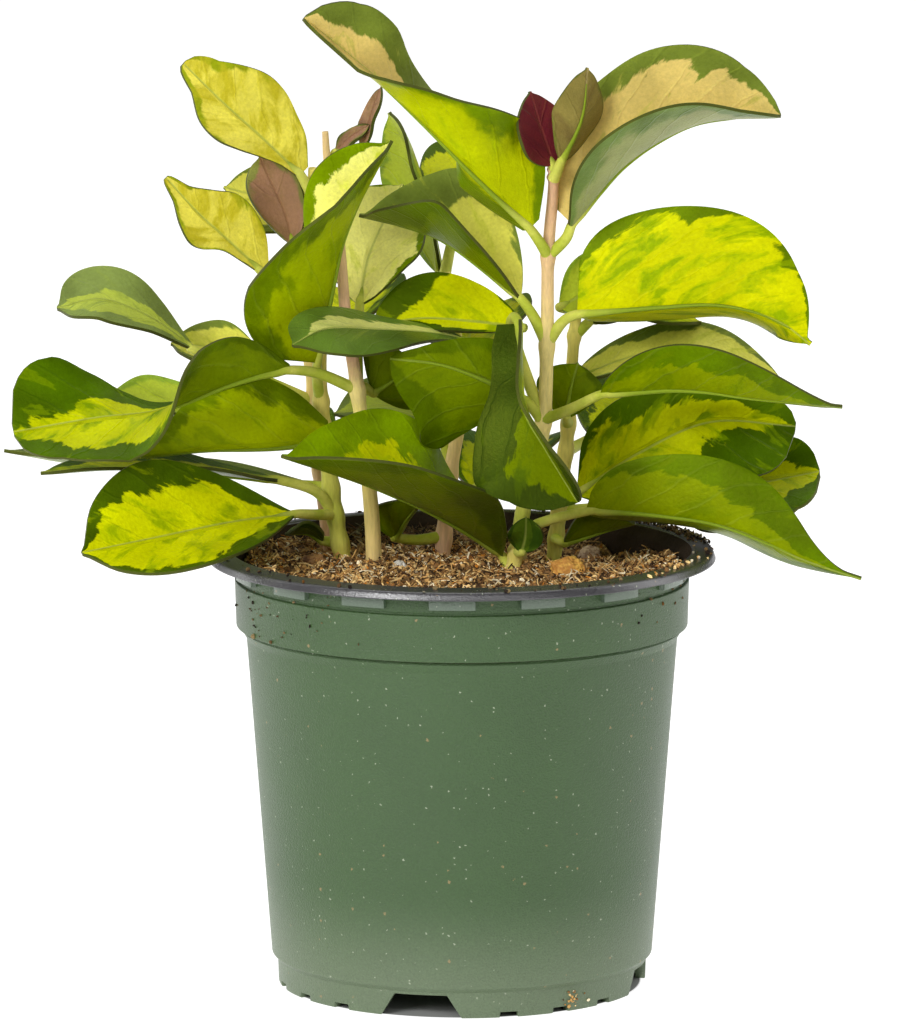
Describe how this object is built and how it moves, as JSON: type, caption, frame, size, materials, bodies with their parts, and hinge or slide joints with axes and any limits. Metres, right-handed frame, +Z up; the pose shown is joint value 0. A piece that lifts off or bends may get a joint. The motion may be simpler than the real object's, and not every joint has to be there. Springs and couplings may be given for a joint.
{
  "type": "potted hoya plant",
  "caption": "Variegated hoya with folded, wavy leaves on upright stems, growing from soil in a round thin-walled nursery pot with a rolled lip.",
  "frame": {"origin": "centre of the flat pad under the pot, on the ground", "axes": "+Z up through the pot's axis, -Y towards the front as pictured, +X to the viewer's right"},
  "size_m": [0.1913, 0.1239, 0.221],
  "materials": {
    "pot_green": "satin",
    "soil": "matte",
    "foliage": "satin",
    "bark": "matte",
    "grit": "matte"
  },
  "bodies": {
    "root": {"pot": "pot_green", "soil": "soil", "right_stem": "foliage", "topped_stem": "foliage", "left_stem": "foliage", "rear_left_stem": "foliage", "middle_stem": "foliage", "rear_right_stem": "foliage", "front_shoot": "foliage", "bark_orange": "bark", "bark_amber": "bark", "bark_brown": "bark", "perlite": "grit", "pebble": "grit"}
  },
  "joints": []
}
